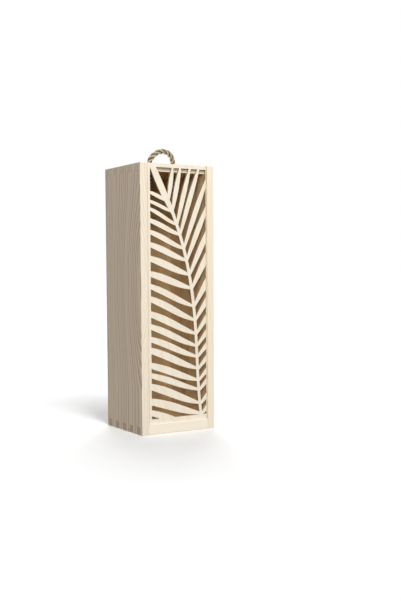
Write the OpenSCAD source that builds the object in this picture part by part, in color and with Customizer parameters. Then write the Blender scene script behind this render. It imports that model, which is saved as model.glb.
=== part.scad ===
// An upright pine gift box, with a sliding front lid that is cut through as a palm frond
// and a handle of twisted rope. Millimetres. The origin is at the middle of the underside,
// the lid faces -Y and +Z is up.

/* [Case] */
// Outside width of the case
case_w = 110; // [100:1:130]
// Outside depth of the case, back panel included
case_d = 100; // [92:1:130]
// Outside height of the case
case_h = 350; // [280:1:400]
// Thickness of the two side boards
side_t = 10; // [8:0.5:14]
// Thickness of the top and bottom boards
end_t = 10; // [8:0.5:14]
// Thickness of the plywood back panel
back_t = 3; // [3:0.5:6]
// How far the sill's lip stands above the bottom board, in front of the lid's foot
sill_lip = 3.5; // [2:0.5:9]
// Width that the fingers of the corner joints are laid out for
finger_pitch = 10; // [6:1:16]

/* [Lid] */
// Thickness of the plywood lid
lid_t = 3; // [2.5:0.25:4]
// How far the lid lies behind the front edges of the sides
lid_recess = 1.5; // [1:0.25:6]
// Depth of the lid's groove in each side board
groove_depth = 4; // [3:0.25:5]
// Clearance of the lid in its groove, on each face
lid_play = 0.15; // [0.1:0.05:0.3]
// Clearance of the lid at each edge of its groove and at its foot
lid_edge_play = 0.4; // [0.3:0.1:0.8]
// Gap between the back of the lid and the end boards
lid_back_gap = 1; // [0.5:0.25:2]
// Width of the lid's left rail, the part inside the groove included
left_rail_w = 8.8; // [8:0.2:20]
// Width of the lid's right rail, the part inside the groove included
right_rail_w = 4.8; // [4.4:0.2:14]
// Height of the lid's top rail
top_rail_h = 5; // [4:0.5:20]
// Height of the lid's foot rail
foot_rail_h = 9.8; // [6:0.2:30]

/* [Palm frond] */
// Width of the midrib at its foot
rib_foot_w = 4.2; // [3:0.1:7]
// Width of the midrib where the tip leaflet starts
rib_tip_w = 4.8; // [2:0.1:6]
// Width of a leaflet where it leaves the midrib
leaflet_neck = 3.2; // [3:0.1:7]
// Share of its room on the left rail that a left leaflet fills at its middle, half way up the lid
leaflet_fill = 0.56; // [0.4:0.02:0.7]
// Share of its room on the left rail that it fills at its end, half way up the lid
leaflet_end_fill = 0.44; // [0.3:0.02:0.64]
// How much more of their room the lowest left leaflets fill than the highest
leaflet_fuller = 0.2; // [0:0.02:0.3]
// How strongly the left leaflets bend into an S
leaflet_wave = 0.15; // [0:0.05:1]
// Share of the room between two right leaflets' feet that a leaflet's belly adds to its neck
right_fill = 0.56; // [0.2:0.02:0.6]
// Whole length of a right leaflet that the frame doesn't cut off
right_leaflet_l = 100; // [80:1:140]
// How far the end of a whole right leaflet bends away from a straight line
right_bow = 2.5; // [0:0.5:8]
// Slope of the highest leaflet on the right, in degrees above level
right_slope_top = 81.5; // [70:0.5:86]
// How much less steep each right leaflet is than the one above it, in degrees
right_slope_step = 2.85; // [1:0.05:3]
// Slope of the lowest leaflets on the right, in degrees above level
right_slope_foot = 46; // [40:1:65]
// Width of the tip leaflet
tip_leaflet_w = 9.5; // [6:0.5:16]
// How far the tip leaflet bows out to the left
tip_bow = 2; // [0:0.25:4]

/* [Rope handle] */
// Diameter of the rope
rope_d = 7; // [4:0.5:8]
// How much wider its two holes in the top board are
rope_hole_play = 0.8; // [0.2:0.1:2]
// Distance between the middles of the two holes
rope_span = 36; // [28:1:50]
// Distance from the front of the sides to the line of the holes
rope_setback = 44; // [30:1:60]
// How far the arch leans towards the lid at rest, in degrees
rope_lean = 22; // [-30:1:30]
// Diameter of the stopper knots under the top board
knot_d = 16; // [12:0.5:18]
// Height of the stopper knots
knot_h = 12; // [8:0.5:14]
// Length of the rope's end below each knot
rope_tail = 9; // [4:1:20]

/* [Back nails] */
// Diameter of the nails' shanks
nail_d = 1.4; // [1.2:0.1:2]
// Diameter of the nails' heads
nail_head_d = 2.8; // [2.4:0.1:4]
// Length of the nails
nail_l = 16; // [12:1:25]
// Nails along each long side of the back panel
side_nails = 4; // [2:1:7]

/* [Hidden] */
$fn = 64;
pine = "#f3e6cb";
pine_shade = "#ead8b6";
plywood = "#f6ead2";
jute = "#9c8763";
steel = "#b9b9b4";

front_y = -case_d / 2;
back_y = case_d / 2;
inner_x = case_w / 2 - side_t;
panel_front_y = back_y - back_t;
lid_front_y = front_y + lid_recess;
lid_back_y = lid_front_y + lid_t;
end_front_y = lid_back_y + lid_back_gap;
end_depth = panel_front_y - end_front_y;
sill_h = end_t + sill_lip;
top_board_z = case_h - end_t;
through = 1;

// The fingers: an odd number over the depth of the end boards, which hold the outer ones
finger_count = 2 * round((end_depth / finger_pitch - 1) / 2) + 1;
finger_w = end_depth / finger_count;

// The lid
lid_w = 2 * (inner_x + groove_depth - lid_edge_play);
lid_foot_z = end_t + lid_edge_play;
lid_h = case_h - lid_foot_z;
window_x0 = left_rail_w - lid_w / 2;
window_x1 = lid_w / 2 - right_rail_w;
window_z0 = lid_foot_z + foot_rail_h;
window_z1 = case_h - top_rail_h;
window_w = window_x1 - window_x0;
window_h = window_z1 - window_z0;

// The frond in shares of the window: the four points that steer the midrib, how far along it
// each pair of leaflets starts, and how high up the left rail the left one ends, in percent
rib_guides = [[0.90, 0], [0.735, 0.29], [1.00, 0.57], [0.065, 1]];
leaflet_feet = [
    89.5, 86, 81.5, 78, 73, 68.5, 63, 57.5, 50, 44, 38, 32.5, 27.5, 22, 16.5, 12, 5.5, 0.5, -7.5
];
leaflet_tips = [
    90, 86.5, 83.5, 79, 74.5, 69.5, 64, 58, 53, 48, 42, 37, 32, 27.5, 21.5, 17.5, 13, 7, 2.5
];
pair_count = len(leaflet_feet);

// The midrib runs on below the window, and the tip leaflet starts short of its end, tapers
// through an angle of a sine and runs on past the window's top
rib_steps = 28;
rib_below_window = 0.06;
tip_foot = 0.85;
tip_taper = 160;
tip_past_window = 0.03;

// The leaflets: steps along each, how far the left ones run into the rail, how much later the
// lowest right one starts than its partner, and how far the right ones run on past a rail.
leaf_steps = 10;
leaf_into_rail = 1.5;
right_foot_drop = 0.008;
past_rail = 10;
rail_reach = 1.2;

// The rope
rope_hole_d = rope_d + rope_hole_play;
rope_x = rope_span / 2;
rope_y = front_y + rope_setback;
foot_gap = 0.3;
pivot_z = case_h + foot_gap + rope_d / 2;

// The nails
nail_play = 0.03;
nail_head_h = 0.6;
nail_from_end = 28;

function bezier(p, t) =
    pow(1 - t, 3) * p[0] + 3 * pow(1 - t, 2) * t * p[1] + 3 * (1 - t) * t * t * p[2] + pow(t, 3) * p[3];

function bezier_way(p, t) =
    3 * pow(1 - t, 2) * (p[1] - p[0]) + 6 * (1 - t) * t * (p[2] - p[1]) + 3 * t * t * (p[3] - p[2]);

function unit(v) = v / norm(v);

function left_of(v) = [-v[1], v[0]];

function in_window(p) = [window_x0 + p[0] * window_w, window_z0 + p[1] * window_h];

rib_path = [for (p = rib_guides) in_window(p)];

function foot_of(i) = bezier(rib_path, leaflet_feet[i] / 100);

function tip_of(i) = [window_x0, window_z0 + window_h * leaflet_tips[i] / 100];

// How far leaflet i's foot or tip lies from its neighbours' on average
function pitch_at(i, places) =
    let(before = places[max(i - 1, 0)], after = places[min(i + 1, pair_count - 1)])
    norm(after - before) / (min(i + 1, pair_count - 1) - max(i - 1, 0));

feet = [for (i = [0 : pair_count - 1]) foot_of(i)];
tips = [for (i = [0 : pair_count - 1]) tip_of(i)];

function shares(n) = [for (i = [0 : n]) i / n];

// The outline of a blade: a line of middles, its way across and its width at each of them
function blade(middles, across, widths) = concat(
    [for (i = [0 : len(middles) - 1]) middles[i] + across[i] * widths[i] / 2],
    [for (i = [len(middles) - 1 : -1 : 0]) middles[i] - across[i] * widths[i] / 2]
);

// A width that passes through three values, at shares 0, 0.5 and 1
function swelling(s, first, middle, last) =
    first * (1 - s) * (1 - 2 * s) + middle * 4 * s * (1 - s) + last * s * (2 * s - 1);

// A level S, flat at both ends for a wave of 1 and straight for a wave of 0
function s_bend(s) = s - leaflet_wave * sin(360 * s) / (2 * PI);

module left_leaflet(i) {
    way = tips[i] - feet[i];
    past = 1 - leaf_into_rail / way[0];
    s = past * shares(leaf_steps);
    room = pitch_at(i, tips);
    fuller = leaflet_fuller * (0.5 - leaflet_tips[i] / 100);
    middle = room * (leaflet_fill + fuller);
    end = room * (leaflet_end_fill + fuller);
    polygon(blade(
        [for (k = s) feet[i] + [way[0] * k, way[1] * s_bend(k)]],
        [for (k = s) [0, 1]],
        [for (k = s) swelling(k, leaflet_neck, middle, end)]
    ));
}

// How far a right leaflet has bent away from its straight line after the length l
function right_bend(l) = right_bow * pow(l / right_leaflet_l, 2);

module right_leaflet(i) {
    share = leaflet_feet[i] / 100 - right_foot_drop * i / (pair_count - 1);
    foot = bezier(rib_path, share);
    slope = max(right_slope_foot, right_slope_top - right_slope_step * i);
    way = [cos(slope), sin(slope)];
    to_side = (window_x1 - foot[0]) / way[0];
    to_top = (window_z1 - foot[1]) / way[1];
    to_rail = min(to_side, to_top);
    long = to_top < to_side ? to_top * rail_reach : max(right_leaflet_l, to_side * rail_reach);
    apart = pitch_at(i, feet) * abs(cross(unit(bezier_way(rib_path, share)), way));
    last = min(1, (to_rail + past_rail) / long);
    s = last * shares(leaf_steps);
    polygon(blade(
        [for (k = s) foot + way * k * long - left_of(way) * right_bend(k * long)],
        [for (k = s) left_of(way)],
        [for (k = s) leaflet_neck * (1 - k) + right_fill * apart * sin(180 * k)]
    ));
}

module midrib() {
    t = [for (k = shares(rib_steps)) k - rib_below_window];
    polygon(blade(
        [for (k = t) bezier(rib_path, k)],
        [for (k = t) left_of(unit(bezier_way(rib_path, k)))],
        [for (k = t) rib_foot_w + (rib_tip_w - rib_foot_w) * max(k, 0)]
    ));
}

module tip_leaflet() {
    s = shares(leaf_steps);
    t = [for (k = s) tip_foot + (1 + tip_past_window - tip_foot) * k];
    across = [for (k = t) left_of(unit(bezier_way(rib_path, k)))];
    polygon(blade(
        [for (i = [0 : leaf_steps]) bezier(rib_path, t[i]) + across[i] * tip_bow * sin(180 * s[i])],
        across,
        [for (k = s) rib_tip_w + (tip_leaflet_w - rib_tip_w) * sin(tip_taper * k)]
    ));
}

module frond() {
    midrib();
    tip_leaflet();
    for (i = [0 : pair_count - 1]) {
        left_leaflet(i);
        right_leaflet(i);
    }
}

module lid_outline() {
    difference() {
        translate([-lid_w / 2, lid_foot_z]) square([lid_w, lid_h]);
        difference() {
            translate([window_x0, window_z0]) square([window_w, window_h]);
            frond();
        }
    }
}

// Stands a flat outline up in the plane of the front, with its front face at y
module stand_up(y, t) {
    translate([0, y + t, 0]) rotate([90, 0, 0]) linear_extrude(t) children();
}

module lid() {
    color(plywood) stand_up(lid_front_y, lid_t) lid_outline();
}

// The row of fingers, as the blocks numbered first, first + 2 and so on
module finger_blocks(first, z0, z1, x0, x1) {
    for (i = [first : 2 : finger_count - 1])
        translate([x0, end_front_y + i * finger_w, z0]) cube([x1 - x0, finger_w, z1 - z0]);
}

// Where the nails go: [x, z] for each, in the middle of the board behind the panel
nail_rows = concat(
    [for (side = [-1, 1], i = [0 : side_nails - 1])
        [side * (case_w / 2 - side_t / 2),
         nail_from_end + i * (case_h - 2 * nail_from_end) / (side_nails - 1)]],
    [for (z = [end_t / 2, case_h - end_t / 2]) [0, z]]
);

module nail_bores() {
    for (p = nail_rows)
        translate([p[0], back_y, p[1]]) rotate([90, 0, 0])
            cylinder(d = nail_d + 2 * nail_play, h = nail_l + nail_play);
}

module side_board() {
    difference() {
        translate([-case_w / 2, front_y, 0]) cube([side_t, panel_front_y - front_y, case_h]);
        finger_blocks(0, -through, end_t, -case_w / 2 - through, -inner_x + through);
        finger_blocks(0, top_board_z, case_h + through, -case_w / 2 - through, -inner_x + through);
        translate([-inner_x - groove_depth, lid_front_y - lid_play, end_t])
            cube([groove_depth + through, lid_t + 2 * lid_play, case_h]);
        nail_bores();
    }
}

module left_side() {
    color(pine_shade) side_board();
}

module right_side() {
    color(pine) mirror([1, 0, 0]) side_board();
}

module end_board(z0) {
    difference() {
        translate([-case_w / 2, end_front_y, z0]) cube([case_w, end_depth, end_t]);
        for (side = [0, 1])
            mirror([side, 0, 0])
                finger_blocks(1, z0 - through, z0 + end_t + through, -case_w / 2 - through, -inner_x);
        nail_bores();
    }
}

module bottom_board() {
    color(pine_shade) end_board(0);
}

module top_board() {
    color(pine) difference() {
        end_board(top_board_z);
        for (side = [-1, 1])
            translate([side * rope_x, rope_y, top_board_z - through])
                cylinder(d = rope_hole_d, h = end_t + 2 * through);
    }
}

// The sill closes the front under the lid; a rebate behind its lip takes the lid's foot
module front_sill() {
    color(pine) difference() {
        translate([-inner_x, front_y, 0]) cube([2 * inner_x, end_front_y - front_y, sill_h]);
        translate([-inner_x - through, lid_front_y - lid_play, end_t])
            cube([2 * (inner_x + through), case_d, sill_h]);
    }
}

module back_panel() {
    color(plywood) difference() {
        translate([-case_w / 2, panel_front_y, 0]) cube([case_w, back_t, case_h]);
        nail_bores();
        for (p = nail_rows)
            translate([p[0], back_y + through, p[1]]) rotate([90, 0, 0])
                cylinder(d = nail_head_d + 2 * nail_play, h = nail_head_h + through);
    }
}

module back_nails() {
    color(steel) for (p = nail_rows)
        translate([p[0], back_y, p[1]]) rotate([90, 0, 0]) {
            cylinder(d = nail_head_d, h = nail_head_h);
            cylinder(d = nail_d, h = nail_l);
        }
}

// The arch of the handle: half a ring on two rounded feet, which rock on the holes' mouths
module rope_handle() {
    color(jute) translate([0, rope_y, pivot_z]) rotate([rope_lean, 0, 0]) {
        rotate([90, 0, 0]) rotate_extrude(angle = 180) translate([rope_x, 0]) circle(d = rope_d);
        for (side = [-1, 1])
            translate([side * rope_x, 0, 0]) sphere(d = rope_d);
    }
}

// One end of the rope: the stretch in its hole, the stopper knot and the loose end below it.
// The knot is a ball, flattened where it bears on the board and where the loose end leaves it.
module rope_end(side) {
    color(jute) translate([side * rope_x, rope_y, top_board_z]) {
        translate([0, 0, -knot_h - rope_tail]) cylinder(d = rope_d, h = knot_h + rope_tail + end_t);
        translate([0, 0, -knot_h / 2]) rotate_extrude() intersection() {
            circle(d = knot_d);
            translate([0, -knot_h / 2]) square([knot_d, knot_h]);
        }
    }
}

module rope_end_left() {
    rope_end(-1);
}

module rope_end_right() {
    rope_end(1);
}

left_side();
right_side();
top_board();
bottom_board();
front_sill();
back_panel();
back_nails();
lid();
rope_handle();
rope_end_left();
rope_end_right();
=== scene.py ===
"""An upright pine gift box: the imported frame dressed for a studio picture. Metres."""

import math
import random

import bmesh
import bpy
import numpy as np
from mathutils import Matrix, Vector
from mathutils.geometry import delaunay_2d_cdt


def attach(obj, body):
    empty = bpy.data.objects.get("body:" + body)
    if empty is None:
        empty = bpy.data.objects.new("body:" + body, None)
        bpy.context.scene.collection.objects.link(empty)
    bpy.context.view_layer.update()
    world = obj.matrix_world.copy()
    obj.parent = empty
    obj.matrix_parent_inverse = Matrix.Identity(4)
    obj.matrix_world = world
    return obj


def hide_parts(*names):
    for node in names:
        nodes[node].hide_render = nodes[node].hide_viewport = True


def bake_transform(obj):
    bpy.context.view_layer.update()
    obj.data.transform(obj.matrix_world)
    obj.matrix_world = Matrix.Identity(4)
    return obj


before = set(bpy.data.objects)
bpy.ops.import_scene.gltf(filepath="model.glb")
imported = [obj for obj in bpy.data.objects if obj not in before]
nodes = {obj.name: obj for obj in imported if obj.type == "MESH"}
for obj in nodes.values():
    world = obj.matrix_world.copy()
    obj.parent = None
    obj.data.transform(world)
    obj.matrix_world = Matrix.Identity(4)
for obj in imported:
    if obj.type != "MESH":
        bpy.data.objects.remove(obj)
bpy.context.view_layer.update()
scene = bpy.context.scene
random.seed(7)


# The camera, solved from the corners of the box
# Pixels are counted from the picture's top left, and MIDDLE is where the view runs straight ahead.
PICTURE_WIDE = 401
PICTURE_TALL = 601
FOCAL_PIXELS = 887.35
MIDDLE_ACROSS = 189.535
MIDDLE_DOWN = 334.471
CAMERA_PLACE = (-0.58984, -1.05004, 0.21518)
CAMERA_YAW = math.radians(31.246)
CAMERA_PITCH = math.radians(4.237)
CAMERA_ROLL = math.radians(-0.3144)
SENSOR = 36


def make_camera():
    """The photograph's camera: yaw turns it right from looking along Y, pitch is downward."""
    ahead = Vector(
        (
            math.sin(CAMERA_YAW) * math.cos(CAMERA_PITCH),
            math.cos(CAMERA_YAW) * math.cos(CAMERA_PITCH),
            -math.sin(CAMERA_PITCH),
        )
    )
    right = Vector((math.cos(CAMERA_YAW), -math.sin(CAMERA_YAW), 0))
    up = right.cross(ahead)
    right_rolled = right * math.cos(CAMERA_ROLL) + up * math.sin(CAMERA_ROLL)
    up_rolled = up * math.cos(CAMERA_ROLL) - right * math.sin(CAMERA_ROLL)
    turn = Matrix((right_rolled, up_rolled, -ahead)).transposed().to_4x4()
    data = bpy.data.cameras.new("camera")
    data.sensor_width = SENSOR
    data.lens = FOCAL_PIXELS * SENSOR / PICTURE_TALL
    data.shift_x = (PICTURE_WIDE / 2 - MIDDLE_ACROSS) / PICTURE_TALL
    data.shift_y = (MIDDLE_DOWN - PICTURE_TALL / 2) / PICTURE_TALL
    data.clip_start = 0.01
    data.clip_end = 50
    camera = new_object("camera", data)
    camera.matrix_world = Matrix.Translation(CAMERA_PLACE) @ turn
    scene.camera = camera


# Objects and meshes
# Points this close are one point, and faces this close to one plane are one face. An edge is eased
# where it is sharper than SHARP and longer than SHORT_EDGE times the width of the easing.
SAME_POINT = 1e-6
SAME_PLANE = math.radians(0.5)
SHARP = math.radians(40)
SHORT_EDGE = 3


def new_object(name, data):
    obj = bpy.data.objects.new(name, data)
    scene.collection.objects.link(obj)
    return obj


def mesh_of(name, verts, faces, smooth=False):
    mesh = bpy.data.meshes.new(name)
    mesh.from_pydata([tuple(v) for v in verts], [], faces)
    mesh.validate()
    mesh.update()
    if smooth:
        mesh.polygons.foreach_set("use_smooth", [True] * len(mesh.polygons))
    return mesh


def tube_faces(first, rings, around):
    """The four-sided faces of a tube, ring after ring, from its first vertex on."""
    faces = []
    for i in range(rings - 1):
        a = first + i * around
        b = a + around
        for k in range(around):
            n = (k + 1) % around
            faces.append((a + k, a + n, b + n, b + k))
    return faces


def eased(node, width, material):
    """A board as the frame has it, with its sharp edges eased by a plane or sandpaper."""
    bm = bmesh.new()
    bm.from_mesh(nodes[node].data)
    bmesh.ops.remove_doubles(bm, verts=bm.verts, dist=SAME_POINT)
    bmesh.ops.dissolve_limit(bm, angle_limit=SAME_PLANE, verts=bm.verts, edges=bm.edges)
    sharp = [
        e
        for e in bm.edges
        if len(e.link_faces) == 2
        and e.calc_face_angle(0) > SHARP
        and e.calc_length() > SHORT_EDGE * width
    ]
    bmesh.ops.bevel(
        bm,
        geom=sharp,
        offset=width,
        offset_type="OFFSET",
        segments=2,
        profile=0.6,
        affect="EDGES",
        clamp_overlap=True,
    )
    mesh = bpy.data.meshes.new(node + "_wood")
    bm.to_mesh(mesh)
    bm.free()
    mesh.materials.append(material)
    obj = new_object(node + "_wood", mesh)
    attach(obj, "case")
    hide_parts(node)


# Node trees
class Nodes:
    """Short names for building a material."""

    def __init__(self, name, roughness):
        self.material = bpy.data.materials.new(name)
        self.material.use_nodes = True
        self.tree = self.material.node_tree
        self.bsdf = self.tree.nodes["Principled BSDF"]
        self.bsdf.inputs["Roughness"].default_value = roughness

    def put(self, socket, value):
        if isinstance(value, bpy.types.NodeSocket):
            self.tree.links.new(value, socket)
        elif value is not None:
            socket.default_value = value

    def surface(self, **values):
        """Sets the surface's inputs. A name has _ where the input's own has a space."""
        for name, value in values.items():
            self.put(self.bsdf.inputs[name.replace("_", " ")], value)

    def node(self, kind, **settings):
        n = self.tree.nodes.new(kind)
        for key, value in settings.items():
            setattr(n, key, value)
        return n

    def coordinates(self):
        """The place on the piece, and the way that its face looks."""
        outputs = self.node("ShaderNodeTexCoord").outputs
        return outputs["Object"], outputs["Normal"]

    def math(self, operation, a, b=None, c=None, clamp=False):
        n = self.node("ShaderNodeMath", operation=operation, use_clamp=clamp)
        for socket, value in zip(n.inputs, (a, b, c)):
            self.put(socket, value)
        return n.outputs[0]

    def vector(self, operation, a, b=None):
        n = self.node("ShaderNodeVectorMath", operation=operation)
        self.put(n.inputs[0], a)
        self.put(n.inputs[1], b)
        return n.outputs["Value" if operation in ("DOT_PRODUCT", "LENGTH") else "Vector"]

    def split(self, v):
        n = self.node("ShaderNodeSeparateXYZ")
        self.put(n.inputs[0], v)
        return n.outputs

    def join(self, x, y, z):
        n = self.node("ShaderNodeCombineXYZ")
        for socket, value in zip(n.inputs, (x, y, z)):
            self.put(socket, value)
        return n.outputs[0]

    def drawn_out(self, at, share):
        """Places for a figure that is long along the third axis. A small share makes it longer."""
        return self.vector("MULTIPLY", at, (1, 1, share))

    def facing(self, normal, way):
        """How squarely a face looks that way or the opposite one, from 0 to 1."""
        return self.math("ABSOLUTE", self.vector("DOT_PRODUCT", normal, way))

    def noise(self, at, scale, detail, rough=0.5):
        n = self.node("ShaderNodeTexNoise")
        self.put(n.inputs["Vector"], at)
        n.inputs["Scale"].default_value = scale
        n.inputs["Detail"].default_value = detail
        n.inputs["Roughness"].default_value = rough
        return n.outputs["Fac"]

    def sway(self, at, scale, detail, reach):
        """Noise about zero."""
        centred = self.math("SUBTRACT", self.noise(at, scale, detail), 0.5)
        return self.math("MULTIPLY", centred, reach)

    def ramp(self, value, stops):
        n = self.node("ShaderNodeValToRGB")
        elements = n.color_ramp.elements
        while len(elements) < len(stops):
            elements.new(0.5)
        for element, (place, colour) in zip(elements, stops):
            element.position = place
            element.color = (
                (*colour, 1) if isinstance(colour, tuple) else (colour, colour, colour, 1)
            )
        self.put(n.inputs[0], value)
        return n.outputs[0]

    def mix(self, share, a, b, kind="MIX"):
        """Mixes two colours. Inputs 6 and 7 and output 2 are the node's sockets for colour."""
        n = self.node("ShaderNodeMix", data_type="RGBA", blend_type=kind)
        self.put(n.inputs[0], share)
        for socket, value in ((n.inputs[6], a), (n.inputs[7], b)):
            self.put(socket, (*value, 1) if isinstance(value, tuple) else value)
        return n.outputs[2]

    def toned(self, colour, tone):
        return self.mix(1.0, colour, tone, "MULTIPLY")

    def span(self, value, low, high, to_low=0.0, to_high=1.0, curve="LINEAR"):
        n = self.node("ShaderNodeMapRange", interpolation_type=curve)
        n.clamp = True
        for socket, v in zip(n.inputs, (value, low, high, to_low, to_high)):
            self.put(socket, v)
        return n.outputs[0]

    def bump(self, height, depth, strength):
        n = self.node("ShaderNodeBump")
        n.inputs["Strength"].default_value = strength
        n.inputs["Distance"].default_value = depth
        self.put(n.inputs["Height"], height)
        return n.outputs[0]


# Materials
# Noise scales are per metre. A profile runs once across a ring, a veneer's line or a pair of plies.
AXES = {"x": (1, 0, 0), "z": (0, 0, 1)}
RING_PROFILE = [(0.0, 0.0), (0.45, 0.08), (0.8, 0.75), (0.93, 1.0), (1.0, 0.0)]
VENEER_PROFILE = [(0.0, 0.0), (0.5, 0.2), (0.85, 1.0), (1.0, 0.0)]
PLY_PROFILE = [(0.0, 0.0), (0.46, 0.0), (0.52, 1.0), (0.96, 1.0), (1.0, 0.0)]
# How far away the second of two unlike noises is read
ELSEWHERE = (3.1, 1.9, 0.7)
# How quickly the rings' spacing changes outward, and by how many rings
RING_CHANGE = 90
RING_UNEVEN = 1.6
TAN = (1.0, 0.94, 0.85)
SCORCHED = (0.36, 0.24, 0.12)
# A face begins to look a way at the first of these cosines, and does so wholly at the second
TURNED = (0.5, 0.8)
WOOD_SHINE = 0.28
PLIES = 3
PLYWOOD_THICK = 0.003
# The line of painted shade beside the grooves' lips begins and is full this far inside them
SEAM_SHADE_BEGINS = 0.0026
SEAM_SHADE_FULL = 0.0016


def shade(colour, factor):
    return tuple(c * factor for c in colour)


def inner_shaded(t, normal, colour, inside):
    """The colour, with a darker tone painted as shade on the face that looks into the box."""
    way, tone = inside
    toward = t.vector("DOT_PRODUCT", normal, way)
    return t.mix(t.span(toward, *TURNED), colour, t.toned(colour, tone))


def pine_rings(t, place, shifted, pith, lean, ring, wander, bow, contrast, seed):
    """How much of the dark late wood of a growth ring there is at a place."""
    across, depth, along = place

    def from_pith(where, middle, slope, drift):
        off = t.math("SUBTRACT", where, middle)
        return t.math("ADD", off, t.math("MULTIPLY_ADD", along, slope, drift))

    slow = t.drawn_out(shifted, 0.12)
    far = t.vector("ADD", slow, ELSEWHERE)
    u = from_pith(across, pith[0], lean[0], t.sway(slow, scale=14, detail=2, reach=wander * 2))
    v = from_pith(depth, pith[1], lean[1], t.sway(far, scale=22, detail=2, reach=wander * 2))
    if bow:
        where, reach, rise = bow
        off = t.math("ABSOLUTE", t.math("SUBTRACT", along, where))
        u = t.math("ADD", u, t.span(off, 0, reach, 0, rise, "SMOOTHSTEP"))
    radius = t.math("SQRT", t.math("ADD", t.math("MULTIPLY", u, u), t.math("MULTIPLY", v, v)))
    outward = t.join(t.math("MULTIPLY", radius, RING_CHANGE), seed, seed)
    uneven = t.math("MULTIPLY", t.noise(outward, scale=1.0, detail=1), RING_UNEVEN)
    phase = t.math("ADD", t.math("DIVIDE", radius, ring), uneven)
    band = t.ramp(t.math("FRACT", phase), RING_PROFILE)
    year = t.node("ShaderNodeTexWhiteNoise", noise_dimensions="1D")
    t.put(year.inputs["W"], t.math("FLOOR", phase))
    strength = t.span(year.outputs["Value"], 0.1, 0.9, 0.3 * contrast, contrast)
    return t.math("MULTIPLY", band, strength, clamp=True)


def pine(
    name,
    grain,
    pith,
    lean,
    ring,
    seed,
    early,
    late=(0.74, 0.58, 0.38),
    end=(0.52, 0.39, 0.25),
    contrast=1.0,
    wander=0.004,
    bow=None,
    inside=None,
    calm_and_lit=None,
):
    """Solid pine: growth rings round a pith line that runs along the grain, so that faces, edges
    and end grain agree. pith is where the line crosses the origin's plane, lean its slope, ring
    the width of one ring and wander how far the rings stray.
    early, late and end are the colours between the rings, on them and of the end grain.
    bow = (where, reach, depth): the pith comes nearer there, which draws the arched figure.
    inside = the way the face in the box looks, with a darker, warmer tone painted there as shade.
    calm_and_lit = the way of the narrow edges, which show the rings less, with a paler colour
    painted on them as light."""
    t = Nodes(name, roughness=0.62)
    place, normal = t.coordinates()
    x, y, z = t.split(place)
    # Across the grain, across it the other way, and along it
    turned = {"z": (x, y, z), "x": (z, y, x)}[grain]
    shifted = t.vector("ADD", t.join(*turned), (seed, seed * 1.7, seed * 0.6))
    latewood = pine_rings(t, turned, shifted, pith, lean, ring, wander, bow, contrast, seed)
    early_here = early
    # The narrow edges show calmer rings, which is grain, and a paler colour painted as light
    if calm_and_lit:
        way, painted_pale = calm_and_lit
        edge = t.facing(normal, way)
        latewood = t.math("MULTIPLY", latewood, t.span(edge, *TURNED, to_low=1.0, to_high=0.30))
        early_here = t.mix(t.span(edge, *TURNED), early, painted_pale)

    fibres = t.noise(t.drawn_out(shifted, 0.018), scale=900, detail=3, rough=0.6)
    patches = t.noise(t.drawn_out(shifted, 0.2), scale=26, detail=3)
    colour = t.mix(latewood, early_here, late)
    colour = t.mix(t.span(fibres, 0.35, 0.7, to_high=0.16), colour, shade(late, 0.80))
    colour = t.mix(t.span(patches, 0.35, 0.7, to_high=0.30), colour, t.toned(colour, TAN))
    # End grain drinks the light: darker, with the rings still drawn on it
    is_end = t.span(t.facing(normal, AXES[grain]), 0.55, 0.85)
    pores = t.noise(shifted, scale=1500, detail=2, rough=0.7)
    end_colour = t.mix(latewood, end, shade(end, 0.72))
    end_colour = t.mix(t.span(pores, 0.4, 0.7, to_high=0.35), end_colour, shade(end, 0.6))
    colour = t.mix(is_end, colour, end_colour)
    # Painted shade: the face that looks into the box gets a darker, warmer tone
    if inside:
        colour = inner_shaded(t, normal, colour, inside)
    roughness_and_seam_shade = t.span(fibres, 0.3, 0.7, to_low=0.56, to_high=0.72)
    relief = t.math("ADD", t.math("MULTIPLY", latewood, 0.35), t.math("MULTIPLY", fibres, 0.65))
    t.surface(
        Base_Color=colour,
        Roughness=t.math("ADD", roughness_and_seam_shade, t.math("MULTIPLY", latewood, -0.08)),
        Normal=t.bump(relief, depth=0.00018, strength=0.55),
        Specular_IOR_Level=WOOD_SHINE,
    )
    return t.material


def cut_plies(t, place, y, front_y, face, core, burnt):
    """The cut edge of plywood: pale face veneers round a darker, cross-grained core."""
    depth = t.math("DIVIDE", t.math("SUBTRACT", y, front_y), PLYWOOD_THICK)
    wobble = t.sway(place, scale=120, detail=1, reach=0.06)
    ply = t.math("FRACT", t.math("MULTIPLY", t.math("ADD", depth, wobble), PLIES / 2))
    grit = t.noise(t.vector("MULTIPLY", place, (1, 3, 1)), scale=1300, detail=2, rough=0.6)
    edge = t.mix(t.ramp(ply, PLY_PROFILE), shade(face, 0.93), core)
    edge = t.mix(t.span(grit, 0.4, 0.7, to_high=0.4), edge, shade(core, 0.7))
    if burnt:
        edge = t.mix(burnt, edge, SCORCHED)
    return edge


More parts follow.
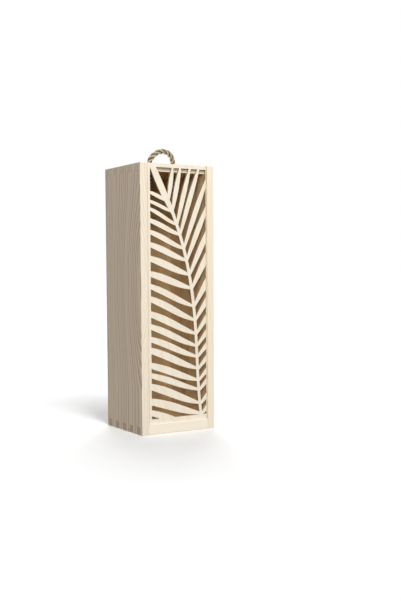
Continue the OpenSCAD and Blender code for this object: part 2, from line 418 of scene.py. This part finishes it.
def plywood(
    name,
    front_y,
    seed,
    face,
    line,
    contrast,
    lean,
    core=(0.60, 0.43, 0.26),
    burnt=0.0,
    inside=None,
    seam_shade_at=None,
):
    """Thin plywood: rotary-cut veneer on its faces, and its plies in the cut edges.
    front_y is where its front face lies, lean the slope of its grain. face, line and core are
    its colours.
    burnt = how much a laser has browned those edges, seam_shade_at = how far from the middle the
    lips of its grooves are, beside which a faint line of painted shade runs down each side."""
    t = Nodes(name, roughness=0.6)
    place, normal = t.coordinates()
    x, y, z = t.split(place)
    flat = t.join(t.math("MULTIPLY_ADD", z, lean, x), seed, z)
    # The veneer is peeled off the log, so its figure is the contour lines of a slow surface
    slow = t.vector("ADD", t.drawn_out(flat, 0.16), (seed, 0, seed))
    hill = t.noise(slow, scale=13, detail=2, rough=0.45)
    band = t.ramp(t.math("FRACT", t.math("MULTIPLY", hill, 17)), VENEER_PROFILE)
    fibres = t.noise(t.drawn_out(flat, 0.02), scale=850, detail=3, rough=0.6)
    flecks = t.noise(t.drawn_out(flat, 0.05), scale=420, detail=2, rough=0.5)
    colour = t.mix(t.math("MULTIPLY", band, contrast * 0.55), face, line)
    colour = t.mix(t.span(fibres, 0.4, 0.72, to_high=0.30 * contrast), colour, line)
    flecked = t.span(flecks, 0.62, 0.72, to_high=0.35 * contrast)
    colour = t.mix(flecked, colour, shade(line, 0.8))
    is_face = t.span(t.facing(normal, (0, 1, 0)), 0.45, 0.8)
    colour = t.mix(is_face, cut_plies(t, place, y, front_y, face, core, burnt), colour)
    # Painted shade: the face that looks into the box gets a darker tone
    if inside:
        colour = inner_shaded(t, normal, colour, inside)
    # Painted shade: a darker line down each side of the lid where it meets the lips of its grooves
    if seam_shade_at:
        off = t.math("ABSOLUTE", x)
        roughness_and_seam_shade = t.span(off, seam_shade_at - SEAM_SHADE_BEGINS, seam_shade_at - SEAM_SHADE_FULL, to_high=0.40)
        colour = t.mix(roughness_and_seam_shade, colour, shade(line, 0.6))
    relief = t.math("ADD", t.math("MULTIPLY", fibres, 0.7), t.math("MULTIPLY", band, 0.3))
    t.surface(
        Base_Color=colour,
        Roughness=t.span(fibres, 0.3, 0.7, to_low=0.52, to_high=0.68),
        Normal=t.bump(relief, depth=0.00012, strength=0.5),
        Specular_IOR_Level=WOOD_SHINE,
    )
    return t.material


def jute():
    """Twisted jute: the strands' own relief is in the mesh, the yarn's fibres are here."""
    t = Nodes("jute", roughness=0.9)
    # relief here is the strands' painted shade in their hollows and painted highlight on their
    # crowns
    relief = t.node("ShaderNodeAttribute", attribute_name="strand")
    place, _ = t.coordinates()
    fuzz = t.noise(place, scale=1500, detail=3, rough=0.7)
    clumps = t.noise(place, scale=260, detail=2, rough=0.6)
    colour = t.ramp(
        relief.outputs["Fac"],
        [
            (0.0, (0.055, 0.038, 0.020)),
            (0.35, (0.20, 0.150, 0.088)),
            (0.75, (0.42, 0.345, 0.225)),
            (1.0, (0.56, 0.475, 0.325)),
        ],
    )
    colour = t.mix(t.span(fuzz, 0.35, 0.7, to_high=0.45), colour, (0.22, 0.165, 0.10))
    colour = t.mix(t.span(clumps, 0.5, 0.75, to_high=0.35), colour, (0.62, 0.53, 0.36))
    t.surface(
        Base_Color=colour,
        Normal=t.bump(fuzz, depth=0.0003, strength=0.8),
        Specular_IOR_Level=0.15,
        Sheen_Weight=0.25,
        Sheen_Roughness=0.6,
    )
    return t.material


def steel():
    """Dull, lightly scuffed steel for the nails."""
    t = Nodes("nail_steel", roughness=0.35)
    place, _ = t.coordinates()
    scuffs = t.noise(place, scale=2500, detail=3, rough=0.7)
    t.surface(
        Base_Color=t.mix(t.span(scuffs, 0.35, 0.65), (0.62, 0.61, 0.59), (0.42, 0.40, 0.37)),
        Metallic=1.0,
        Roughness=t.span(scuffs, 0.3, 0.7, to_low=0.28, to_high=0.5),
        Normal=t.bump(scuffs, depth=0.00005, strength=0.5),
    )
    return t.material


# The rope: its sizes and places are the part's own
BOX_TALL = 0.350
BOX_DEEP = 0.100
BOARD = 0.010
BOARD_TOP = BOX_TALL
BOARD_UNDER = BOX_TALL - BOARD
ROPE_R = 0.0035
ROPE_X = 0.018
ROPE_Y = -0.006
ROPE_LEAN = math.radians(22)
ARCH_Z = BOARD_TOP + 0.0038
KNOT_MID = BOARD_UNDER - 0.006
TAIL_TOP = KNOT_MID - 0.002
TAIL_END = BOARD_UNDER - 0.021
# Where the handle bends: from this far under the board's top to this far over the arch's feet
LEG_STEPS = 28
ARCH_STEPS = 128
# How far along the rope a strand goes once round it, and the same in the tighter knot
LAY = 0.021
KNOT_LAY = 0.017
KNOT_ROPE_R = 0.0029
KNOT_WIDE = 0.0018
KNOT_TALL = 0.0030
KNOT_STEPS = 160
TAIL_ROPE_R = 0.0034
TAIL_STEPS = 20
TAIL_OUTWARD = 0.0012
TAIL_FORWARD = 0.0008
# The tail's width at its top as a share of its own, and how much wider it is at its end
TAIL_NARROW = 0.94
TAIL_FLARE = 0.14
# A strand's radius, its middle's distance and the yarns' relief, as shares of the rope's radius
STRANDS = 3
STRAND_R = 0.464
STRAND_AT = 0.536
YARN_RELIEF = 0.020
# How often the yarns' relief repeats round a strand, and the radians it runs on in one lay
YARNS = 9
YARN_RUN = 40
# Painted shade: below this share of the radius the rope is painted at its darkest,
# and the yarns change that painted shade this much
HOLLOW = 0.62
YARN_SHADE = 0.13
# A hair: how much it stands out, its length as a share of its reach, and its bend, each at random
HAIR_OUTWARD = (0.35, 1.0)
HAIR_LENGTHS = (0.4, 1.0)
HAIR_BEND = 0.5
# How much of the bend shows at its tip, how much thinner that is, and how light a hair is
HAIR_CURL = 0.6
HAIR_THINNER = 0.8
HAIR_SHADE = 0.95
HAIR_STEPS = 4
HAIR_SIDES = 3
# Path points at each end of the rope that grow no hairs, the roots round each of the others, how
# far these turn from one point to the next, and their depth as a share of the rope's radius
BALD = 34
HAIR_ROOTS = 12
HAIR_TURN = 0.37
HAIR_DEPTH = 0.86
TUFT_ROOTS = 24
TUFT_RADII = (0.0002, 0.0026)


def rope_section(turn, angle, run):
    """Radius of a three-strand rope at an angle, as a share of its own, with the yarns' relief
    and without, and that relief from -1 to 1."""
    best, lead = 0.0, 0.0
    for k in range(STRANDS):
        phi = angle - turn - k * 2 * math.pi / STRANDS
        phi = (phi + math.pi) % (2 * math.pi) - math.pi
        inside = STRAND_R**2 - (STRAND_AT * math.sin(phi)) ** 2
        if inside <= 0 or abs(phi) > math.pi / 2:
            continue
        r = STRAND_AT * math.cos(phi) + math.sqrt(inside)
        if r > best:
            best, lead = r, phi
    yarn = math.cos(lead * YARNS + run)
    return best + YARN_RELIEF * yarn, best, yarn


def rope_piece(name, verts, faces, painted_shading, smooth=False):
    """A piece of the rope, with the painted light and shade of its strands in an attribute."""
    mesh = mesh_of(name, verts, faces, smooth)
    layer = mesh.attributes.new("strand", "FLOAT", "POINT")
    layer.data.foreach_set("value", painted_shading)
    return new_object(name, mesh)


def sweep_rope(name, path, radius, lay, around=42, taper=None):
    """A rope along a path: three strands laid up in a helix of the given lay length."""
    verts, painted_shading = [], []
    length = 0.0
    last = len(path) - 1
    tangent = (path[1] - path[0]).normalized()
    side = tangent.orthogonal().normalized()
    for i, point in enumerate(path):
        tangent = (path[min(i + 1, last)] - path[max(i - 1, 0)]).normalized()
        side = (side - tangent * side.dot(tangent)).normalized()
        up = tangent.cross(side)
        if i:
            length += (point - path[i - 1]).length
        turn = 2 * math.pi * length / lay
        r_here = radius * (taper(i / last) if taper else 1.0)
        for k in range(around):
            a = 2 * math.pi * k / around
            share, best, yarn = rope_section(turn, a, length / lay * YARN_RUN)
            r = r_here * share
            verts.append(point + side * (r * math.cos(a)) + up * (r * math.sin(a)))
            # Painted shade in the hollows between strands and yarns, and painted highlight on their
            # crowns
            light = (best - HOLLOW) / (1 - HOLLOW) + YARN_SHADE * yarn
            painted_shading.append(max(0.0, min(1.0, light)))
    faces = tube_faces(0, len(path), around)
    faces.append(tuple(range(around))[::-1])
    faces.append(tuple(last * around + k for k in range(around)))
    return rope_piece(name, verts, faces, painted_shading, smooth=True)


def loose_hairs(name, roots, reach, count, radius, spread, bias):
    """Loose hairs: thin bent spikes that stand away from the rope."""
    verts, faces = [], []
    for _ in range(count):
        root, out, along = roots[random.randrange(len(roots))]
        way = out * random.uniform(*HAIR_OUTWARD) + along * random.uniform(-spread, spread)
        way = (way + bias).normalized()
        bend = along.cross(out) * random.uniform(-HAIR_BEND, HAIR_BEND)
        long = reach * random.uniform(*HAIR_LENGTHS)
        u = way.orthogonal().normalized()
        v = way.cross(u)
        first = len(verts)
        for s in range(HAIR_STEPS + 1):
            f = s / HAIR_STEPS
            centre = root + way * (long * f) + bend * (long * f * f * HAIR_CURL)
            r = radius * (1 - HAIR_THINNER * f)
            for k in range(HAIR_SIDES):
                a = 2 * math.pi * k / HAIR_SIDES
                verts.append(centre + u * (r * math.cos(a)) + v * (r * math.sin(a)))
        faces += tube_faces(first, HAIR_STEPS + 1, HAIR_SIDES)
        tip = first + HAIR_STEPS * HAIR_SIDES
        faces.append(tuple(tip + k for k in range(HAIR_SIDES)))
    return rope_piece(name, verts, faces, [HAIR_SHADE] * len(verts))


def handle_path():
    """The rope's middle line: up one hole, over the leaning arch and down the other hole."""
    rise = ARCH_Z - BOARD_UNDER
    path = []
    for i in range(LEG_STEPS):
        path.append(Vector((-ROPE_X, ROPE_Y, BOARD_UNDER + rise * i / LEG_STEPS)))
    for i in range(ARCH_STEPS + 1):
        a = math.pi * (1 - i / ARCH_STEPS)
        up = ROPE_X * math.sin(a)
        x = ROPE_X * math.cos(a)
        path.append(
            Vector((x, ROPE_Y - up * math.sin(ROPE_LEAN), ARCH_Z + up * math.cos(ROPE_LEAN)))
        )
    for i in range(1, LEG_STEPS + 1):
        path.append(Vector((ROPE_X, ROPE_Y, ARCH_Z - rise * i / LEG_STEPS)))
    return path


def handle_hairs(path):
    """The hairs of the arch, which grow all round it."""
    side = Vector((0, math.cos(ROPE_LEAN), math.sin(ROPE_LEAN)))
    roots = []
    for i in range(BALD, len(path) - BALD):
        tangent = (path[i + 1] - path[i - 1]).normalized()
        for k in range(HAIR_ROOTS):
            a = 2 * math.pi * k / HAIR_ROOTS + i * HAIR_TURN
            out = side * math.cos(a) + tangent.cross(side) * math.sin(a)
            roots.append((path[i] + out * ROPE_R * HAIR_DEPTH, out, tangent))
    return loose_hairs(
        "rope_hairs",
        roots,
        reach=0.0032,
        count=260,
        radius=0.000045,
        spread=0.8,
        bias=Vector((0, 0, 0)),
    )


def make_knot(side, word):
    """The stopper knot under the top board: an overhand knot, which is a trefoil."""
    centre = Vector((side * ROPE_X, ROPE_Y, KNOT_MID))
    path = []
    for i in range(KNOT_STEPS + 1):
        a = 2 * math.pi * i / KNOT_STEPS
        x = (math.sin(a) + 2 * math.sin(2 * a)) * KNOT_WIDE
        y = (math.cos(a) - 2 * math.cos(2 * a)) * KNOT_WIDE
        path.append(centre + Vector((x, y, -math.sin(3 * a) * KNOT_TALL)))
    return sweep_rope("knot_" + word, path, KNOT_ROPE_R, KNOT_LAY, around=30)


def make_tail(side, word):
    """The end of the rope below its knot, and the place where it ends."""
    path = []
    for i in range(TAIL_STEPS + 1):
        f = i / TAIL_STEPS
        x = side * (ROPE_X + TAIL_OUTWARD * f**2)
        y = ROPE_Y - TAIL_FORWARD * f**2
        path.append(Vector((x, y, TAIL_TOP + (TAIL_END - TAIL_TOP) * f)))

    def taper(f):
        return TAIL_NARROW + TAIL_FLARE * f * f

    return sweep_rope("tail_" + word, path, TAIL_ROPE_R, LAY, taper=taper), path[-1]


def make_tuft(end, word):
    """The frayed end of the tail."""
    down = Vector((0, 0, -1))
    roots = []
    for k in range(TUFT_ROOTS):
        a = 2 * math.pi * k / TUFT_ROOTS
        out = Vector((math.cos(a), math.sin(a), 0))
        roots.append((end + out * random.uniform(*TUFT_RADII), out, down))
    return loose_hairs(
        "tuft_" + word,
        roots,
        reach=0.0042,
        count=150,
        radius=0.00007,
        spread=0.3,
        bias=down * 1.7,
    )


def make_rope():
    """The whole handle. Its hairs are the only pieces here that draw random numbers."""
    rope_finish = jute()
    path = handle_path()
    rope = sweep_rope("rope", path, ROPE_R, LAY)
    hairs = handle_hairs(path)
    rope.data.materials.append(rope_finish)
    hairs.data.materials.append(rope_finish)

    for side, word in ((-1, "left"), (1, "right")):
        knot = make_knot(side, word)
        tail, end = make_tail(side, word)
        tuft = make_tuft(end, word)
        for piece in (knot, tail, tuft):
            piece.data.materials.append(rope_finish)
            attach(piece, "case")

    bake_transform(rope)
    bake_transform(hairs)
    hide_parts("rope_handle", "rope_end_left", "rope_end_right")


# The boards
# Below: a darker tone painted as shade on the faces inside the box, and the paler colour painted
# as light on a side's narrow edges.
INSIDE_SHADE = (0.84, 0.71, 0.50)
PAINTED_LIGHT_CREAM = (0.91, 0.82, 0.67)
BOARD_EASE = 0.00035
PANEL_EASE = 0.0002


def make_left_side():
    wood = pine(
        "pine_left", "z", (-0.067, -0.054), lean=(0.0, 0.012), ring=0.0043, seed=1.3,
        early=(0.91, 0.77, 0.62), late=(0.52, 0.375, 0.24), end=(0.64, 0.51, 0.37),
        bow=(0.195, 0.15, 0.024), inside=((1, 0, 0), INSIDE_SHADE), calm_and_lit=((0, 1, 0), PAINTED_LIGHT_CREAM),
    )
    eased("left_side", BOARD_EASE, wood)


def make_right_side():
    # The darker, warmer tone on its inner face is painted shade
    wood = pine(
        "pine_right", "z", (0.105, 0.015), lean=(0.015, 0.060), ring=0.0031, seed=4.1,
        early=(0.89, 0.80, 0.65), late=(0.70, 0.55, 0.37), end=(0.64, 0.52, 0.38),
        wander=0.006, inside=((-1, 0, 0), (0.94, 0.80, 0.58)), calm_and_lit=((0, 1, 0), PAINTED_LIGHT_CREAM),
    )
    eased("right_side", BOARD_EASE, wood)


def make_top_board():
    wood = pine(
        "pine_top", "x", (0.300, -0.020), lean=(0.02, 0.10), ring=0.0024, seed=6.2,
        early=(0.86, 0.77, 0.62), end=(0.82, 0.69, 0.54), inside=((0, 0, -1), INSIDE_SHADE),
    )
    eased("top_board", BOARD_EASE, wood)


def make_bottom_board():
    wood = pine(
        "pine_bottom", "x", (0.050, 0.010), lean=(-0.02, 0.08), ring=0.0022, seed=8.7,
        early=(0.84, 0.74, 0.58), end=(0.64, 0.505, 0.36), inside=((0, 0, 1), INSIDE_SHADE),
    )
    eased("bottom_board", BOARD_EASE, wood)


def make_front_sill():
    wood = pine(
        "pine_sill", "x", (-0.060, -0.030), lean=(0.01, 0.02), ring=0.0026, seed=2.9,
        early=(0.96, 0.89, 0.76), late=(0.86, 0.75, 0.56), contrast=0.8,
    )
    eased("front_sill", BOARD_EASE, wood)


def make_back_panel():
    # The darker tone on its inner face is painted shade
    wood = plywood(
        "plywood_back", front_y=BOX_DEEP / 2 - PLYWOOD_THICK, seed=5.5, face=(0.80, 0.67, 0.48),
        line=(0.66, 0.50, 0.31), contrast=0.9, lean=-0.05,
        inside=((0, -1, 0), (0.78, 0.66, 0.47)),
    )
    eased("back_panel", PANEL_EASE, wood)


def make_back_nails():
    finishes = nodes["back_nails"].data.materials
    finishes.clear()
    finishes.append(steel())


# The lid
LID_EASE = 0.00015
# How far from the middle the lips of its grooves are
LIP = 0.045
# A bend over this angle, in radians, is a real corner of an outline. Between two points that are
# further apart than SHORT_GAP, a gentle stretch is rounded in this many pieces.
CORNER = 0.40
ROUNDING_PIECES = 4
SHORT_GAP = 0.0015
NO_LENGTH = 1e-7
MERGED_POINTS = 1e-9
# An eased point moves at most MOST_MOVED times the easing, and LEAST_COSINE keeps the division by
# a bend's cosine safe. At a FOLD the two sides' ways into the wood nearly cancel out.
MOST_MOVED = 2
LEAST_COSINE = 0.35
FOLD = 0.2


def front_loops(node):
    """The outlines of a plate's front face, from the frame, as closed loops of (x, z)."""
    mesh = nodes[node].data
    co = np.array([v.co for v in mesh.vertices])
    front = co[:, 1].min()
    keys, points, index = {}, [], []
    for c in co:
        key = tuple(round(v / SAME_POINT) for v in c)
        if key not in keys:
            keys[key] = len(points)
            points.append(c)
        index.append(keys[key])
    used = {}
    for poly in mesh.polygons:
        ring = [index[v] for v in poly.vertices]
        if all(abs(points[v][1] - front) < SAME_POINT for v in ring):
            used.update(dict.fromkeys(zip(ring, ring[1:] + ring[:1])))
    step = {a: b for (a, b) in used if (b, a) not in used}
    loops = []
    while step:
        at = next(iter(step))
        loop = []
        while at in step:
            loop.append((points[at][0], points[at][2]))
            at = step.pop(at)
        loops.append(loop)
    return loops, front, co[:, 1].max()


def smoothed(loop):
    """A loop with its gentle bends rounded by a spline, and its real corners kept."""
    p = [Vector(c) for c in loop]
    n = len(p)

    def bend(i):
        a, b = p[i] - p[i - 1], p[(i + 1) % n] - p[i]
        if a.length < NO_LENGTH or b.length < NO_LENGTH:
            return 0.0
        return abs(a.angle_signed(b))

    sharp = [bend(i) > CORNER for i in range(n)]
    out = []
    for i in range(n):
        j = (i + 1) % n
        a, b = p[i], p[j]
        out.append(a)
        gap = (b - a).length
        if gap < SHORT_GAP or (sharp[i] and sharp[j]):
            continue
        way_a = None if sharp[i] else ((b - p[i - 1]) / 2).normalized() * gap
        way_b = None if sharp[j] else ((p[(j + 1) % n] - a) / 2).normalized() * gap
        if way_a is None:
            way_a = (b - a) * 1.5 - way_b * 0.5
        if way_b is None:
            way_b = (b - a) * 1.5 - way_a * 0.5
        for k in range(1, ROUNDING_PIECES):
            s = k / ROUNDING_PIECES
            out.append(
                a * (2 * s**3 - 3 * s**2 + 1)
                + way_a * (s**3 - 2 * s**2 + s)
                + b * (3 * s**2 - 2 * s**3)
                + way_b * (s**3 - s**2)
            )
    return out


def inset(loop, by):
    """A loop moved into the wood, which is on its left, by the width of the eased edge."""
    n = len(loop)
    out = []
    for i in range(n):
        a = (loop[i] - loop[i - 1]).normalized()
        b = (loop[(i + 1) % n] - loop[i]).normalized()
        na, nb = Vector((-a[1], a[0])), Vector((-b[1], b[0]))
        mid = na + nb
        if mid.length < FOLD:
            mid = na
        mid.normalize()
        out.append(loop[i] + mid * min(by / max(mid.dot(na), LEAST_COSINE), by * MOST_MOVED))
    return out


def in_wood(centres, loops):
    """Which of the points lie in the wood: those with an odd number of edges to their right."""
    inside = np.zeros(len(centres), bool)
    for loop in loops:
        a = np.array([(v[0], v[1]) for v in loop])
        b = np.roll(a, -1, axis=0)
        for (ax, az), (bx, bz) in zip(a, b):
            if az == bz:
                continue
            hit = (centres[:, 1] >= min(az, bz)) & (centres[:, 1] < max(az, bz))
            where = ax + (centres[:, 1] - az) * (bx - ax) / (bz - az)
            inside ^= hit & (where > centres[:, 0])
    return inside


def plate(name, loops, y0, y1, ease):
    """A flat board with the given outlines, eased edges and square-cut walls."""
    inner = [inset(loop, ease) for loop in loops]
    flat, edges = [], []
    for loop in inner:
        first = len(flat)
        flat += loop
        edges += [(first + i, first + (i + 1) % len(loop)) for i in range(len(loop))]
    verts2, _, tris, origin, _, _ = delaunay_2d_cdt(flat, edges, [], 0, MERGED_POINTS)
    pts = np.array([(v[0], v[1]) for v in verts2])
    centres = np.array([pts[list(t)].mean(0) for t in tris])
    verts = [(x, y0, z) for x, z in pts] + [(x, y1, z) for x, z in pts]
    back = len(pts)
    new_of = {old: new for new, olds in enumerate(origin) for old in olds}
    faces = []
    for tri, keep in zip(tris, in_wood(centres, inner)):
        if keep:
            faces.append(tuple(tri))
            faces.append(tuple(back + v for v in reversed(tri)))
    place = 0
    for loop in loops:
        n = len(loop)
        wall = len(verts)
        verts += [(p[0], y0 + ease, p[1]) for p in loop]
        verts += [(p[0], y1 - ease, p[1]) for p in loop]
        for i in range(n):
            j = (i + 1) % n
            fi, fj = new_of[place + i], new_of[place + j]
            faces.append((fj, fi, wall + i, wall + j))
            faces.append((wall + j, wall + i, wall + n + i, wall + n + j))
            faces.append((wall + n + j, wall + n + i, back + fi, back + fj))
        place += n
    mesh = mesh_of(name, verts, faces)
    bm = bmesh.new()
    bm.from_mesh(mesh)
    bmesh.ops.recalc_face_normals(bm, faces=bm.faces)
    bm.to_mesh(mesh)
    bm.free()
    return new_object(name, mesh)


def make_lid():
    loops, front, back = front_loops("lid")
    lid = plate("lid_plywood", [smoothed(loop) for loop in loops], front, back, LID_EASE)
    lid.data.materials.append(
        plywood(
            "plywood_lid", front_y=front, seed=2.2, face=(0.885, 0.81, 0.675),
            line=(0.80, 0.68, 0.50), core=(0.66, 0.49, 0.31), contrast=0.75, burnt=0.75,
            lean=0.22, seam_shade_at=LIP,
        )
    )
    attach(lid, "lid")
    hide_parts("lid")


# The studio
# The lamps aim at this height, in the middle of the box
AIM_HEIGHT = 0.17
# Each lamp's azimuth and elevation in degrees, distance and width in metres, and power in watts
LAMPS = {
    "key": (8, 43, 3.4, 1.2, 88),
    "fill": (34, 13, 3.0, 1.0, 32),
    "back": (208, 44, 2.6, 1.3, 36),
}
# The strength of the world as a light, where the white of the background is 1
WORLD_LIGHT = 0.16
# The floor is paper up to the first distance from the middle of the box, and white from the second
PAPER_TO = 0.14
WHITE_FROM = 0.38
# The colour of the floor for light that bounces off it
BOUNCE = (0.15, 0.145, 0.135)
FLOOR_REACH = 6.0
FLOOR_CUTS = 12


def around(azimuth, elevation, distance):
    """A place round the box: azimuth 0 is in front of the lid, positive towards its left."""
    a, e = math.radians(azimuth), math.radians(elevation)
    return (
        -distance * math.cos(e) * math.sin(a),
        -distance * math.cos(e) * math.cos(a),
        AIM_HEIGHT + distance * math.sin(e),
    )


def make_lamps():
    for name, (azimuth, elevation, distance, width, power) in LAMPS.items():
        data = bpy.data.lights.new(name, "AREA")
        data.shape = "DISK"
        data.size = width
        data.energy = power
        obj = new_object(name, data)
        obj.location = around(azimuth, elevation, distance)
        toward = Vector((0, 0, AIM_HEIGHT)) - obj.location
        obj.rotation_euler = toward.to_track_quat("-Z", "Y").to_euler()


def make_world():
    """White to the eye and in reflections, and only a dim, even light on the object."""
    world = bpy.data.worlds.new("studio")
    scene.world = world
    world.use_nodes = True
    tree = world.node_tree
    background = tree.nodes["Background"]
    rays = tree.nodes.new("ShaderNodeLightPath")
    bright = tree.nodes.new("ShaderNodeMath")
    bright.operation = "MAXIMUM"
    tree.links.new(rays.outputs["Is Camera Ray"], bright.inputs[0])
    tree.links.new(rays.outputs["Is Glossy Ray"], bright.inputs[1])
    level = tree.nodes.new("ShaderNodeMapRange")
    level.inputs["To Min"].default_value = WORLD_LIGHT
    level.inputs["To Max"].default_value = 1.0
    tree.links.new(bright.outputs[0], level.inputs["Value"])
    tree.links.new(level.outputs[0], background.inputs["Strength"])
    background.inputs["Color"].default_value = (1, 1, 1, 1)


def floor_paper():
    """Paper that takes the shadow near the box, and turns into the white background further off."""
    t = Nodes("floor", roughness=0.9)
    ray = t.node("ShaderNodeLightPath")
    seen = t.math(
        "MAXIMUM", ray.outputs["Is Camera Ray"], ray.outputs["Is Glossy Ray"], clamp=True
    )
    place, _ = t.coordinates()
    away = t.span(t.vector("LENGTH", place), PAPER_TO, WHITE_FROM)
    near = t.math("SUBTRACT", 1.0, away)
    grain = t.noise(place, scale=260, detail=3, rough=0.6)
    paper = t.span(grain, 0.3, 0.7, to_low=0.93, to_high=0.95)
    shown = t.mix(near, (0.0, 0.0, 0.0), t.join(paper, paper, paper))
    t.surface(
        Base_Color=t.mix(seen, BOUNCE, shown),
        Emission_Color=(1, 1, 1, 1),
        Emission_Strength=t.math("MULTIPLY", seen, away),
        Specular_IOR_Level=0.1,
    )
    return t.material


def make_floor():
    row = FLOOR_CUTS + 1
    marks = [-FLOOR_REACH + 2 * FLOOR_REACH * i / FLOOR_CUTS for i in range(row)]
    verts = [(x, y, 0.0) for y in marks for x in marks]
    faces = [
        (j * row + i, j * row + i + 1, (j + 1) * row + i + 1, (j + 1) * row + i)
        for j in range(FLOOR_CUTS)
        for i in range(FLOOR_CUTS)
    ]
    obj = new_object("floor", mesh_of("floor", verts, faces))
    obj.data.materials.append(floor_paper())


# The build
make_camera()
make_rope()
make_left_side()
make_right_side()
make_top_board()
make_bottom_board()
make_front_sill()
make_back_panel()
make_back_nails()
make_lid()
make_lamps()
make_world()
make_floor()
scene.view_settings.view_transform = "Standard"
